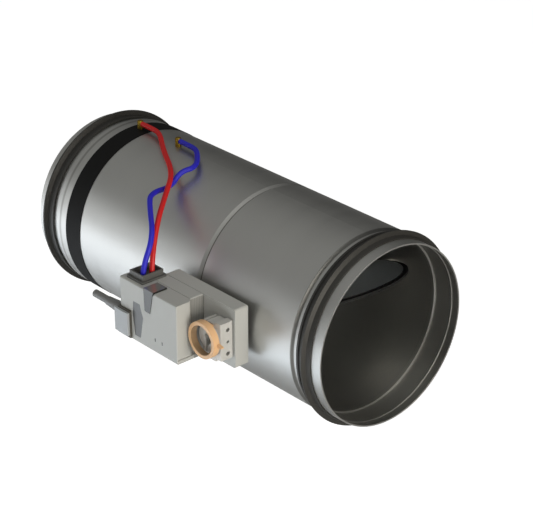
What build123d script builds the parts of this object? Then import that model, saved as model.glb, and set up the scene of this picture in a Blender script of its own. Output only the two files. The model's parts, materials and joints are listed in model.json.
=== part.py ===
from build123d import *
import os
from math import acos, atan2, cos, degrees, hypot, pi, radians, sin, sqrt, tan

# Round airflow regulator for a nominal 200 mm duct: a sheet-metal casing with a gasketed spigot at
# each end, an elliptical damper blade, a measuring ring between two pressure taps, and an actuator
# with its controller on the side.
# Millimetres. X runs along the duct, and the outlet rim is the plane x = 0. Z is up. The damper
# shaft runs along Y, and the actuator hangs on the -Y side.

# Casing
duct_length = 470.9
inlet_cutback = 5.1
casing_radius = 102.0
sheet = 1.0
spigot_step = 2.5
spigot_length = 38.3
spigot_end_gap = 0.2
seat_depth = 0.6
bead_start = 9.5
seat_end = 31.5
rim_hem_length = 3.0
rim_hem_thickness = 1.5
neck_start = 33.5
neck_hem = 2.0
shoulder_length = 2.2
groove_from_shaft = 61.6
groove_depth = 1.9
groove_steep = 0.9
groove_floor = 1.7
groove_slope = 4.4

# Gaskets
gasket_start = 13.0
gasket_end = 32.5
gasket_foot_height = 1.2
gasket_base_width = 5.5
gasket_base_height = 2.4
gasket_lip_place = 7.1
gasket_lip_height = 7.1
gasket_lip_width = 1.6
gasket_lip_fall = 0.3
gasket_lip_foot = 10.0
gasket_web_height = 2.0
gasket_web_end = 16.3
gasket_web_low = 1.4
gasket_back_lip_width = 2.6
gasket_back_lip_height = 2.6
gasket_back_lip_fall = 0.2

# Sealing band and measuring ring
band_from_inlet = 66.5
band_width = 26.6
band_thickness = 0.5
ring_from_inlet = 98.4
ring_height = 17.0
ring_flange_width = 14.0
ring_sheet = 1.2

# Pressure taps and hoses
upstream_tap_from_inlet = 64.1
downstream_tap_from_inlet = 132.1
tap_radius = 3.5
tap_height = 10.0
tap_edge = 0.8
tap_axis_height = 6.5
tap_stem_radius = 2.0
tap_stem_depth = 4.0
barb_radius = 1.75
barb_reach = 12.0
hose_diameter = 5.8
hose_sides = 12
hose_bend_share = 0.45
hose_tap_gap = 0.05

# Damper shaft and blade
shaft_x = -120.9
shaft_radius = 6.0
shaft_end_depth = 34.0
shaft_end_cover = 2.5
shaft_flat = 5.0
shaft_edge = 0.6
running_gap = 0.05
blade_open_tilt = 20.8
blade_closed_tilt = 53.0
blade_outline_tilt = 55.0
blade_wall_gap = 0.6
blade_side_gap = 0.6
blade_plate = 1.5
blade_seal_thickness = 2.0
blade_lip = 5.0
blade_screw_place = 48.0
blade_screw_radius = 2.5
blade_screw_head_radius = 4.5
blade_screw_head_height = 2.4
blade_screw_depth = 4.0
blade_screw_key = 2.3
blade_screw_key_depth = 1.3

# Shaft bushes
bush_radius = 9.0
bush_flange_radius = 13.0
bush_flange = 3.2
bush_lip = 1.3
bush_cap = 5.4

# Actuator gear case
case_low_from_shaft = -89.6
case_high_from_shaft = 21.9
case_half_height = 33.5
case_back_depth = 3.9
case_front_depth = 21.8
case_wall = 2.0
case_corner = 2.5
slot_inner_radius = 19.0
slot_outer_radius = 23.5
slot_from_angle = 68.0
slot_to_angle = 128.0

# Controller housing
body_low_from_shaft = -116.1
body_high_from_shaft = -23.1
body_front_depth = 61.2
body_split_depth = 39.0
body_back_high_from_shaft = -27.1
body_wall = 2.0
body_rounding = 7.0
body_edge = 0.8
foot_lip_depth = 24.0
foot_lip_height = 4.0
foot_lip_groove = 1.1
groove_cut = 1.1
seam_width = 0.6
seam_depth = 0.5
middle_rounding = 1.5
motor_clearance = 0.4

# Gears
module = 1.0
pressure_angle = 20.0
addendum_factor = 0.8
dedendum_factor = 1.05
tooth_thinning = 0.12
sector_teeth_in_circle = 55
pinion_teeth = 15
wheel_teeth = 39
sector_from_angle = 132.0
sector_to_angle = 215.0
motor_direction_angle = 200.0
hub_radius = 11.0
hub_bore = 6.4
hub_disc_radius = 15.0
hub_front_depth = 22.7
gear_back_depth = 6.4
gear_split_depth = 10.4
gear_front_depth = 14.4
pinion_gap = 0.2
sector_width = 3.6
arbor_radius = 1.5
stop_post_radius = 2.0
stop_post_circle = 21.0
stop_gap = 0.33

# Motor
motor_can_radius = 11.0
motor_can_length = 30.0
motor_can_wall = 1.0
rotor_radius = 7.5
rotor_end_gap = 0.4

# Shaft clamp and position ring
clamp_front_depth = 38.5
yoke_radius = 15.0
yoke_face = -4.3
yoke_ear = 18.5
yoke_ear_back = -7.2
jaw_back = -1.9
jaw_front = 10.5
jaw_top = 19.2
jaw_bottom = -23.5
block_back = 10.9
block_front = 19.1
block_top = 21.5
block_bottom = -20.3
block_edge = 0.8
clamp_screw_offset = 13.5
clamp_hole_depth = 29.2
clamp_hole_drop = 0.7
clamp_screw_radius = 2.35
clamp_screw_recess = 3.5
lock_hole_radius = 1.7
position_ring_outer = 20.1
position_ring_inner = 16.2
position_ring_front_depth = 48.6
position_ring_back_depth = 40.9
position_foot_x = 5.5
position_foot_z = 16.4
position_foot_width = 5.0
position_foot_height = 2.0
pointer_reach = 26.8
pointer_width = 5.0
pointer_tip = 1.2
pointer_thickness = 3.5

# Pieces on the controller housing
button_low_from_shaft = -75.6
button_high_from_shaft = -60.0
button_length = 18.0
button_rise = 1.8
button_thickness = 2.1
button_skirt = 0.6
button_bottom_z = 8.7
button_slope = 5.9
button_foot_inset = 0.8
button_foot_height = 1.2
button_gap = 0.4
button_stem_width = 6.0
button_stem_bottom_z = 21.0
leaf_strip = 0.4
leaf_width = 4.0
leaf_reach = 8.0
leaf_bend = 0.6
leaf_foot_z = 14.0
seat_thickness = 1.5
socket_cover_thickness = 1.4
socket_cover_recess = 0.2
socket_cover_corners = [
    (-94.5, 12.7),
    (-83.3, 12.7),
    (-78.3, -2.0),
    (-83.2, -26.5),
    (-92.9, -26.5),
    (-96.2, -2.0),
]
light_spacing = 11.4
light_from_shaft = -53.3
light_over_foot = 14.4
light_width = 1.8
light_height = 4.2
light_recess = 0.4
terminal_low_from_shaft = -117.6
terminal_high_from_shaft = -97.8
terminal_z_low = -32.0
terminal_z_high = -0.5
terminal_proud = 2.4
terminal_length = 15.6
cover_low_from_shaft = -122.6
cover_high_from_shaft = -98.6
cover_z_low = -29.0
cover_z_high = -2.5
cover_thickness = 2.6
cover_bulge = 0.6
cover_end_step = 1.0
cover_end_rounding = 4.0
boot_low_from_shaft = -110.1
boot_high_from_shaft = -83.1
boot_front_inset = 4.2
boot_back_depth = 24.5
boot_flange = 2.4
boot_collar_height = 8.4
boot_collar_inset = 2.6
boot_wall = 1.6
boot_plug_depth = 4.0
boot_floor = 1.0
boot_corner = 1.5
boot_hose_gap = 0.3
boot_plug_inset = 4.6
cable_inset = 6.2
cable_z = -9.0
cable_radius = 4.25
cable_end_from_shaft = -168.6
relief_length = 28.0
relief_radius_base = 7.0
relief_radius_tip = 4.9
board_inset = 5.2
board_thickness = 1.5
board_margin = 1.5
board_gap = 0.5
sensor_low_from_shaft = -103.1
sensor_high_from_shaft = -81.1
sensor_back_depth = 31.0
sensor_z_low = 2.0
sensor_z_high = 16.0
red_nipple_from_shaft = -91.0
red_nipple_depth = 38.4
red_lead_z = 49.9
blue_nipple_from_shaft = -93.0
blue_nipple_depth = 49.2
blue_lead_z = 44.8
nipple_top_z = 36.0
nipple_radius = 1.75
nipple_base_radius = 2.9
hose_bottom_z = 28.0

# Bracket between the duct and the gear case
bracket_low_from_shaft = -84.6
bracket_high_from_shaft = -23.6
bracket_sheet = 1.5
bracket_half_height = 14.0
bracket_foot_height = 25.0

# Points of each hose, chosen by hand: the share of the way along the duct from its tap to its
# nipple, the angle round the duct from the top, and the height over the casing
red_route = [
    (0.105, 0.0, 6.5),
    (0.208, 1.8, 7.3),
    (0.38, 13.9, 7.9),
    (0.644, 27.4, 15.7),
    (0.774, 41.8, 25.8),
    (0.909, 54.6, 42.1),
]
blue_route = [
    (0.188, 0.0, 6.5),
    (0.328, 4.9, 8.4),
    (0.504, 15.2, 7.1),
    (0.516, 23.1, 11.3),
    (0.436, 38.7, 5.6),
    (0.592, 45.3, 37.2),
    (0.983, 60.6, 53.9),
]

# Values that follow from the sizes above
over = 1.0
casing_bore = casing_radius - sheet
spigot_radius = casing_radius - spigot_step
band_x = band_from_inlet - duct_length
ring_x = ring_from_inlet - duct_length
ring_bore = casing_bore - ring_height
tap_upstream_x = upstream_tap_from_inlet - duct_length
tap_downstream_x = downstream_tap_from_inlet - duct_length
groove_x = shaft_x - groove_from_shaft
shaft_outer_y = -casing_radius - shaft_end_depth
case_back_y = -casing_radius - case_back_depth
case_front_y = -casing_radius - case_front_depth
body_front_y = -casing_radius - body_front_depth
body_split_y = -casing_radius - body_split_depth
foot_lip_back_y = -casing_radius - foot_lip_depth
hub_front_y = -casing_radius - hub_front_depth
gear_level_back_y = -casing_radius - gear_back_depth
gear_level_split_y = -casing_radius - gear_split_depth
gear_level_front_y = -casing_radius - gear_front_depth
clamp_front_y = -casing_radius - clamp_front_depth
clamp_hole_y = -casing_radius - clamp_hole_depth
position_ring_front_y = -casing_radius - position_ring_front_depth
position_ring_back_y = -casing_radius - position_ring_back_depth
button_back_y = body_front_y + button_length
terminal_front_y = body_front_y - terminal_proud
terminal_back_y = terminal_front_y + terminal_length
boot_y_front = body_front_y + boot_front_inset
boot_y_back = -casing_radius - boot_back_depth
cable_y = body_front_y + cable_inset
board_y = body_front_y + board_inset
sensor_y_low = board_y
sensor_y_high = -casing_radius - sensor_back_depth
case_x_low = shaft_x + case_low_from_shaft
case_x_high = shaft_x + case_high_from_shaft
body_x_low = shaft_x + body_low_from_shaft
body_x_high = shaft_x + body_high_from_shaft
body_back_x_high = shaft_x + body_back_high_from_shaft
button_x_low = shaft_x + button_low_from_shaft
button_x_high = shaft_x + button_high_from_shaft
light_x = shaft_x + light_from_shaft
light_z = light_over_foot - case_half_height
terminal_x_low = shaft_x + terminal_low_from_shaft
terminal_x_high = shaft_x + terminal_high_from_shaft
cover_x_low = shaft_x + cover_low_from_shaft
cover_x_high = shaft_x + cover_high_from_shaft
boot_x_low = shaft_x + boot_low_from_shaft
boot_x_high = shaft_x + boot_high_from_shaft
cable_end_x = shaft_x + cable_end_from_shaft
sensor_x_low = shaft_x + sensor_low_from_shaft
sensor_x_high = shaft_x + sensor_high_from_shaft
bracket_x_low = shaft_x + bracket_low_from_shaft
bracket_x_high = shaft_x + bracket_high_from_shaft
shaft_inner_y = casing_radius + shaft_end_cover
bush_outer_y = casing_radius + bush_flange
bush_inner_y = casing_radius - bush_lip
bush_cap_y = casing_radius + bush_cap
red_nipple = (shaft_x + red_nipple_from_shaft, -casing_radius - red_nipple_depth)
blue_nipple = (shaft_x + blue_nipple_from_shaft, -casing_radius - blue_nipple_depth)
tilt = radians(blade_open_tilt)
outline_tilt = radians(blade_outline_tilt)
seal_bottom = shaft_flat + blade_plate
seal_top = seal_bottom + blade_seal_thickness
blade_top = seal_top + blade_plate
blade_reach = casing_bore - blade_wall_gap
blade_high_end = (blade_reach - seal_top * cos(outline_tilt)) / sin(outline_tilt)
blade_low_end = (blade_reach + seal_bottom * cos(outline_tilt)) / sin(outline_tilt)
blade_half_length = (blade_high_end + blade_low_end) / 2
blade_centre = (blade_high_end - blade_low_end) / 2
blade_half_width = blade_reach - blade_side_gap
shaft_flat_half_length = blade_half_width - blade_lip + running_gap
idler_distance = module * (sector_teeth_in_circle + pinion_teeth) / 2
idler_x = shaft_x - idler_distance
motor_distance = module * (wheel_teeth + pinion_teeth) / 2
motor_x = idler_x + motor_distance * cos(radians(motor_direction_angle))
motor_z = motor_distance * sin(radians(motor_direction_angle))
light_places = [(light_x - light_spacing / 2, light_z), (light_x + light_spacing / 2, light_z)]
cover_inside_y = case_front_y + case_wall


def side(y, x=0.0, z=0.0):
    """Plane at y that faces -Y, with its own x along X and its own y along Z."""
    return Plane(origin=(x, y, z), x_dir=(1, 0, 0), z_dir=(0, -1, 0))


def across(x, y=0.0, z=0.0):
    """Plane at x that faces +X, with its own x along Y and its own y along Z."""
    return Plane(origin=(x, y, z), x_dir=(0, 1, 0), z_dir=(1, 0, 0))


def blade_plane(height):
    """Plane parallel to the tilted blade, at a height over the shaft's axis."""
    normal = (-sin(tilt), 0, cos(tilt))
    origin = (shaft_x + normal[0] * height, 0, normal[2] * height)
    return Plane(origin=origin, x_dir=(cos(tilt), 0, sin(tilt)), z_dir=normal)


def rectangle(x_low, x_high, z_low, z_high, mode=Mode.ADD):
    """Rectangle between two corners in the open sketch."""
    with Locations(((x_low + x_high) / 2, (z_low + z_high) / 2)):
        Rectangle(x_high - x_low, z_high - z_low, mode=mode)


def drum(y, radius, length, x=shaft_x, z=0.0):
    """Round boss along -Y in the open part, from the plane at y."""
    with BuildSketch(side(y, x, z)) as end:
        Circle(radius)
    extrude(end.sketch, amount=length)


def bore(y, radius, depth, x=shaft_x, z=0.0):
    """Round hole along -Y in the open part, from the plane at y."""
    with BuildSketch(side(y, x, z)) as mouth:
        Circle(radius)
    extrude(mouth.sketch, amount=depth, mode=Mode.SUBTRACT)


def turned(points):
    """Solid of revolution about the duct's axis, from its half section (x, radius)."""
    with BuildSketch(Plane.XZ) as section:
        with BuildLine():
            Polyline(*points, close=True)
        make_face()
    revolve(section.sketch, axis=Axis.X)


def write(piece, name):
    """Label a finished piece and write it as its own file."""
    piece.part.label = name
    export_step(piece.part, f"parts/{name}.step")


def mirrored(points):
    """The same half section at the other end of the duct."""
    return [(-duct_length - inlet_cutback - x, r) for x, r in points]


def tooth_half_angle(teeth, radius):
    """Half the angle that an involute tooth spans at a radius, in radians."""
    pitch = module * teeth / 2
    base = pitch * cos(radians(pressure_angle))
    at_pitch = pi / (2 * teeth) - tooth_thinning / (2 * pitch)
    alpha = acos(min(1.0, base / max(radius, base)))
    involute_pitch = tan(radians(pressure_angle)) - radians(pressure_angle)
    return at_pitch + involute_pitch - (tan(alpha) - alpha)


def tooth_points(teeth, angle):
    """Outline of one tooth, from one root to the other, counter-clockwise."""
    pitch = module * teeth / 2
    radii = [pitch - dedendum_factor * module, pitch + addendum_factor * module]
    if teeth == pinion_teeth:
        radii.insert(1, pitch)
    rising = [(r, angle - tooth_half_angle(teeth, r)) for r in radii]
    falling = [(r, angle + tooth_half_angle(teeth, r)) for r in reversed(radii)]
    return [(r * cos(a), r * sin(a)) for r, a in rising + falling]


def gear_points(teeth, first_angle):
    """Outline of a whole gear with one tooth centred at first_angle, in degrees."""
    step = 2 * pi / teeth
    points = []
    for k in range(teeth):
        points += tooth_points(teeth, radians(first_angle) + k * step)
    return points


def sector_points():
    """Outline of the toothed sector of the output gear, closed through its centre."""
    step = 360 / sector_teeth_in_circle
    points = [(0.0, 0.0)]
    angle = 180.0 + step / 2
    while angle - step > sector_from_angle:
        angle -= step
    while angle < sector_to_angle:
        points += tooth_points(sector_teeth_in_circle, radians(angle))
        angle += step
    return points


def sheet_casing():
    """Main tube with its rolled groove, a necked end at each side and the holes through its wall."""
    neck = spigot_radius - sheet
    neck_bore = neck - neck_hem
    shoulder_out = spigot_length + spigot_end_gap
    shoulder_in = shoulder_out + sheet / 2
    shoulder_end = shoulder_out + shoulder_length
    outlet = [
        (-shoulder_end - sheet / 2, casing_bore),
        (-shoulder_in, neck_bore),
        (-neck_start, neck_bore),
        (-neck_start, neck),
        (-shoulder_out, neck),
        (-shoulder_end, casing_radius),
    ]
    inlet = list(reversed(mirrored(outlet)))
    floor_low = groove_x - groove_steep - groove_floor
    groove_low = floor_low - groove_slope
    groove_out = [
        (groove_x, casing_radius),
        (groove_x - groove_steep, casing_radius - groove_depth),
        (floor_low, casing_radius - groove_depth),
        (groove_low, casing_radius),
    ]
    groove_in = [
        (groove_low, casing_bore),
        (floor_low, casing_bore - groove_depth),
        (groove_x - groove_steep + sheet / 2, casing_bore - groove_depth),
        (groove_x + sheet / 2, casing_bore),
    ]
    with BuildPart() as casing:
        turned(outlet + groove_out + inlet + groove_in)
        bore(bush_outer_y, bush_radius, 2 * bush_outer_y)
        with BuildSketch(Plane.XY.offset(casing_radius / 2)):
            with Locations((tap_upstream_x, 0), (tap_downstream_x, 0)):
                Circle(tap_stem_radius)
        extrude(amount=casing_radius, mode=Mode.SUBTRACT)
    write(casing, "casing_tube")


def spigots():
    """Sleeve over each necked end, with a folded rim and a rolled seat for its gasket."""
    bore = spigot_radius - sheet
    for name, rim in (("outlet_spigot", 0.0), ("inlet_spigot", -inlet_cutback)):
        section = [
            (rim, spigot_radius),
            (-gasket_start, spigot_radius),
            (-gasket_start, spigot_radius - seat_depth),
            (-seat_end, spigot_radius - seat_depth),
            (-seat_end, spigot_radius),
            (-spigot_length, spigot_radius),
            (-spigot_length, bore),
            (-seat_end, bore),
            (-seat_end, bore - seat_depth),
            (-bead_start, bore - seat_depth),
            (-bead_start, bore),
            (rim - rim_hem_length, bore),
            (rim - rim_hem_length, spigot_radius - rim_hem_thickness),
            (rim, spigot_radius - rim_hem_thickness),
        ]
        with BuildPart() as spigot:
            turned(section if rim == 0.0 else mirrored(section))
        write(spigot, name)


def gaskets():
    """Rubber gasket with two lips that lean back from the rim, on each spigot."""
    lip = spigot_radius + gasket_lip_height
    lip_x = -gasket_start - gasket_lip_place
    back_lip = spigot_radius + gasket_back_lip_height
    section = [
        (-gasket_start, spigot_radius - seat_depth),
        (-gasket_start, spigot_radius + gasket_foot_height),
        (-gasket_start - gasket_base_width, spigot_radius + gasket_base_height),
        (lip_x, lip),
        (lip_x - gasket_lip_width, lip - gasket_lip_fall),
        (-gasket_start - gasket_lip_foot, spigot_radius + gasket_web_height),
        (-gasket_start - gasket_web_end, spigot_radius + gasket_web_low),
        (-gasket_end + gasket_back_lip_width, back_lip),
        (-gasket_end, back_lip - gasket_back_lip_fall),
        (-gasket_end, spigot_radius),
        (-seat_end, spigot_radius),
        (-seat_end, spigot_radius - seat_depth),
    ]
    with BuildPart() as outlet:
        turned(section)
    write(outlet, "outlet_gasket")
    with BuildPart() as inlet:
        turned(mirrored(section))
    write(inlet, "inlet_gasket")


def band_and_ring():
    """Black sealing band round the casing, and the measuring ring inside between the taps."""
    low = band_x - band_width / 2
    high = band_x + band_width / 2
    outside = casing_radius + band_thickness
    with BuildPart() as band:
        turned([(low, casing_radius), (low, outside), (high, outside), (high, casing_radius)])
        with BuildSketch(Plane.XY.offset(casing_radius / 2)):
            with Locations((tap_upstream_x, 0)):
                Circle(tap_radius)
        extrude(amount=casing_radius, mode=Mode.SUBTRACT)
    write(band, "sealing_band")
    flange_high = ring_x + ring_flange_width
    seat = casing_bore - ring_sheet
    with BuildPart() as ring:
        turned([
            (ring_x, casing_bore),
            (ring_x, ring_bore),
            (ring_x + ring_sheet, ring_bore),
            (ring_x + ring_sheet, seat),
            (flange_high, seat),
            (flange_high, casing_bore),
        ])
    write(ring, "measuring_ring")


def taps():
    """Brass elbow at each pressure tap: an upright body with a barb towards the outlet."""
    axis_z = casing_radius + tap_axis_height
    for name, x in (("upstream_tap", tap_upstream_x), ("downstream_tap", tap_downstream_x)):
        with BuildPart() as elbow:
            with BuildSketch(Plane.XY.offset(casing_radius - over)):
                with Locations((x, 0)):
                    Circle(tap_radius)
            extrude(amount=tap_height + over)
            chamfer(elbow.edges().group_by(Axis.Z)[-1], tap_edge)
            with Locations(Location((x, 0, 0), (0, 90, 0))):
                Cylinder(casing_radius, 4 * tap_radius, mode=Mode.SUBTRACT)
            with BuildSketch(Plane.XY.offset(casing_radius - tap_stem_depth)):
                with Locations((x, 0)):
                    Circle(tap_stem_radius)
            extrude(amount=tap_stem_depth + over)
            with BuildSketch(across(x, 0, axis_z)):
                Circle(barb_radius)
            extrude(amount=barb_reach)
        write(elbow, name)


def fillet_radii(points):
    """Radius at each inner point: a share of its shorter run over the tangent of half the turn."""
    radii = []
    for before, here, after in zip(points, points[1:], points[2:]):
        back = Vector(*before) - Vector(*here)
        ahead = Vector(*after) - Vector(*here)
        turn = 180.0 - back.get_angle(ahead)
        radii.append(hose_bend_share * min(back.length, ahead.length) / tan(radians(turn / 2)))
    return radii


def hose(name, start, route, end):
    """Soft pressure hose from a tap's barb to a nipple of the pressure sensor."""
    points = [start, *route, end]
    radii = fillet_radii(points)
    with BuildPart() as tube:
        with BuildLine() as path:
            FilletPolyline(*points, radius=radii)
        with BuildSketch(across(*start)) as section:
            RegularPolygon(hose_diameter / 2, hose_sides)
        sweep(path=path.line)
    length = path.wire().length
    expected = length * section.sketch.area
    print(name, "length", round(length, 1), "radii", [round(r, 1) for r in radii])
    print(name, "volume over section times length", round(tube.part.volume / expected, 4))
    write(tube, name)


def route_points(route, tap_x, nipple, lead_z):
    """Points of a hose's route, the last of them straight over its nipple."""
    points = []
    for share, angle, height in route:
        reach = casing_radius + height
        x = tap_x + share * (nipple[0] - tap_x)
        points.append((x, -reach * sin(radians(angle)), reach * cos(radians(angle))))
    return [*points, (*nipple, lead_z)]


def hoses():
    """The red hose from the upstream tap and the blue one from the downstream tap."""
    axis_z = casing_radius + tap_axis_height
    first = tap_radius + hose_tap_gap
    red_points = route_points(red_route, tap_upstream_x, red_nipple, red_lead_z)
    blue_points = route_points(blue_route, tap_downstream_x, blue_nipple, blue_lead_z)
    hose("red_hose", (tap_upstream_x + first, 0.0, axis_z), red_points, (*red_nipple, hose_bottom_z))
    hose("blue_hose", (tap_downstream_x + first, 0.0, axis_z), blue_points, (*blue_nipple, hose_bottom_z))


def bushes():
    """Flanged bush in the casing at each end of the shaft; the far one is closed."""
    with BuildPart() as drive:
        drum(-casing_radius, bush_flange_radius, bush_outer_y - casing_radius)
        drum(-bush_inner_y, bush_radius, casing_radius - bush_inner_y)
        bore(-bush_inner_y + over, shaft_radius + running_gap, bush_outer_y - bush_inner_y + 2 * over)
    write(drive, "drive_side_bush")
    with BuildPart() as idle:
        drum(bush_cap_y, bush_flange_radius, bush_cap_y - casing_radius)
        drum(casing_radius, bush_radius, casing_radius - bush_inner_y)
        bore(shaft_inner_y + over, shaft_radius + running_gap, shaft_inner_y - bush_inner_y + 2 * over)
    write(idle, "idle_side_bush")


def blade_disc(height, thickness, trim):
    """Elliptical disc of the blade in the open part, trimmed inside the full outline."""
    with BuildSketch(blade_plane(height)) as outline:
        with Locations((blade_centre, 0)):
            Ellipse(blade_half_length - trim, blade_half_width - trim)
    extrude(outline.sketch, amount=thickness)


def screw_holes(height, depth, radius):
    """Holes for the blade's screws through the open part."""
    with BuildSketch(blade_plane(height)) as holes:
        with Locations((0, -blade_screw_place), (0, blade_screw_place)):
            Circle(radius)
    extrude(holes.sketch, amount=depth, mode=Mode.SUBTRACT)


def damper():
    """Through shaft with a milled flat, and the blade: two plates with a rubber lip between them."""
    with BuildPart() as shaft:
        with BuildSketch(side(shaft_inner_y, shaft_x)):
            Circle(shaft_radius)
        extrude(amount=shaft_inner_y - shaft_outer_y)
        chamfer(shaft.edges().group_by(Axis.Y)[0], shaft_edge)
        with BuildSketch(blade_plane(shaft_flat)):
            Rectangle(4 * shaft_radius, 2 * shaft_flat_half_length)
        extrude(amount=shaft_radius, mode=Mode.SUBTRACT)
        screw_holes(shaft_flat - blade_screw_depth, 2 * blade_screw_depth, blade_screw_radius)
    write(shaft, "damper_shaft")
    discs = (
        ("blade_back_plate", shaft_flat, blade_plate, blade_lip),
        ("blade_seal", seal_bottom, blade_seal_thickness, 0.0),
        ("blade_front_plate", seal_top, blade_plate, blade_lip),
    )
    for name, height, thickness, trim in discs:
        with BuildPart() as disc:
            blade_disc(height, thickness, trim)
            screw_holes(height - over, thickness + 2 * over, blade_screw_radius)
        write(disc, name)
    with BuildPart() as screws:
        with BuildSketch(blade_plane(blade_top)):
            with Locations((0, -blade_screw_place), (0, blade_screw_place)):
                Circle(blade_screw_head_radius)
        extrude(amount=blade_screw_head_height)
        with BuildSketch(blade_plane(shaft_flat - blade_screw_depth)):
            with Locations((0, -blade_screw_place), (0, blade_screw_place)):
                Circle(blade_screw_radius)
        extrude(amount=blade_top - shaft_flat + blade_screw_depth + over)
        with BuildSketch(blade_plane(blade_top + blade_screw_head_height)):
            with Locations((0, -blade_screw_place), (0, blade_screw_place)):
                RegularPolygon(blade_screw_key, 6)
        extrude(amount=-blade_screw_key_depth, mode=Mode.SUBTRACT)
    write(screws, "blade_screws")


def bracket():
    """Sheet bracket spot-welded on the duct, with the flat that the gear case stands on."""
    plate_back = case_back_y + bracket_sheet
    inner = bracket_half_height - bracket_sheet
    high = bracket_foot_height
    far = 2 * casing_radius
    with BuildPart() as console:
        with BuildSketch(across(bracket_x_low)):
            Circle(casing_radius + bracket_sheet)
            rectangle(-casing_radius / 2, far, -far, far, Mode.SUBTRACT)
            rectangle(-far, 0, high, far, Mode.SUBTRACT)
            rectangle(-far, 0, -far, -high, Mode.SUBTRACT)
            rectangle(-far, 0, -inner, inner, Mode.SUBTRACT)
            rectangle(case_back_y, -casing_radius + over, -bracket_half_height, bracket_half_height)
            rectangle(plate_back, -casing_radius + 2 * over, -inner, inner, Mode.SUBTRACT)
            Circle(casing_radius, mode=Mode.SUBTRACT)
        extrude(amount=bracket_x_high - bracket_x_low)
    write(console, "mounting_bracket")


def gear_case():
    """Gear case: a tray with bearing bosses and end stops, and the lid that sits inside its walls."""
    with BuildPart() as tray:
        with BuildSketch(side(case_back_y)):
            rectangle(case_x_low, case_x_high, -case_half_height, case_half_height)
        extrude(amount=case_back_y - case_front_y)
        fillet(tray.edges().filter_by(Axis.Y), case_corner)
        chamfer(tray.edges().group_by(Axis.Y)[-1], body_edge)
        with BuildSketch(side(case_back_y - case_wall)):
            rectangle(
                case_x_low + case_wall,
                case_x_high - case_wall,
                case_wall - case_half_height,
                case_half_height - case_wall,
            )
        extrude(amount=case_back_y - case_front_y, mode=Mode.SUBTRACT)
        with BuildSketch(side(case_back_y - case_wall)):
            for angle in stop_angles():
                with Locations((
                    shaft_x + stop_post_circle * cos(radians(angle)),
                    stop_post_circle * sin(radians(angle)),
                )):
                    Circle(stop_post_radius)
        extrude(amount=gear_level_back_y + case_wall - gear_level_split_y)
        bore(case_back_y + over, hub_radius + running_gap, case_wall + 2 * over)
        bore(case_back_y - case_wall / 2, arbor_radius, case_wall, idler_x)
        bore(case_back_y - case_wall / 2, arbor_radius + running_gap, case_wall, motor_x, motor_z)
    write(tray, "gear_case")
    with BuildPart() as lid:
        with BuildSketch(side(cover_inside_y)):
            rectangle(
                case_x_low + case_wall,
                case_x_high - case_wall,
                case_wall - case_half_height,
                case_half_height - case_wall,
            )
        extrude(amount=case_wall)
        bore(cover_inside_y + over, hub_radius + running_gap, case_wall + 2 * over)
        bore(cover_inside_y + over, arbor_radius + running_gap, case_wall + 2 * over, motor_x, motor_z)
        bore(cover_inside_y + over, arbor_radius, over + case_wall / 2, idler_x)
        middle = (slot_inner_radius + slot_outer_radius) / 2
        with BuildSketch(side(cover_inside_y + over, shaft_x)):
            sweep_angle = slot_to_angle - slot_from_angle
            arc = CenterArc((0, 0), middle, slot_from_angle, sweep_angle, mode=Mode.PRIVATE)
            SlotArc(arc, slot_outer_radius - slot_inner_radius)
        extrude(amount=case_wall + 2 * over, mode=Mode.SUBTRACT)
    write(lid, "gear_case_lid")
    with BuildPart() as arbor:
        drum(case_back_y - case_wall / 2, arbor_radius, case_back_y - cover_inside_y, idler_x)
    write(arbor, "idler_arbor")


def stop_angles():
    """Angles of the two posts that the sector's edges meet at the ends of the blade's travel."""
    step = 360 / sector_teeth_in_circle
    first = 180.0 + step / 2
    while first - step > sector_from_angle:
        first -= step
    last = first
    while last + step < sector_to_angle:
        last += step
    half = degrees(tooth_half_angle(sector_teeth_in_circle, 0.0))
    clear = degrees((stop_post_radius + stop_gap) / stop_post_circle)
    opening = first - half - blade_open_tilt - clear
    closing = last + half + (blade_closed_tilt - blade_open_tilt) + clear
    return (opening, closing)


def gears():
    """Output gear with its hollow hub, the stepped idler and the motor's rotor with its pinion."""
    with BuildPart() as output:
        with BuildSketch(side(gear_level_back_y, shaft_x)):
            with BuildLine():
                Polyline(*sector_points(), close=True)
            make_face()
            Circle(hub_disc_radius)
        extrude(amount=sector_width)
        drum(case_back_y, hub_radius, case_back_y - hub_front_y)
        bore(case_back_y + over, hub_bore, case_back_y - hub_front_y + 2 * over)
    write(output, "output_gear")
    with BuildPart() as idler:
        with BuildSketch(side(gear_level_back_y, idler_x)):
            with BuildLine():
                Polyline(*gear_points(pinion_teeth, 0.0), close=True)
            make_face()
        extrude(amount=gear_level_back_y - gear_level_split_y)
        with BuildSketch(side(gear_level_split_y, idler_x)):
            with BuildLine():
                Polyline(*gear_points(wheel_teeth, motor_direction_angle), close=True)
            make_face()
        extrude(amount=gear_level_split_y - gear_level_front_y)
        bore(case_back_y, arbor_radius + running_gap, case_back_y - case_front_y, idler_x)
    write(idler, "idler_gear")
    facing = motor_direction_angle + 180 + 180 / pinion_teeth
    rotor_back = case_front_y - motor_can_wall - rotor_end_gap
    rotor_length = motor_can_length - 2 * (motor_can_wall + rotor_end_gap)
    shaft_end = case_back_y - case_wall / 2 - pinion_gap
    with BuildPart() as rotor:
        with BuildSketch(side(gear_level_split_y - pinion_gap, motor_x, motor_z)):
            with BuildLine():
                Polyline(*gear_points(pinion_teeth, facing), close=True)
            make_face()
        extrude(amount=gear_level_split_y - gear_level_front_y)
        drum(shaft_end, arbor_radius, shaft_end - rotor_back + over, motor_x, motor_z)
        drum(rotor_back, rotor_radius, rotor_length, motor_x, motor_z)
    write(rotor, "motor_rotor")


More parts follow.
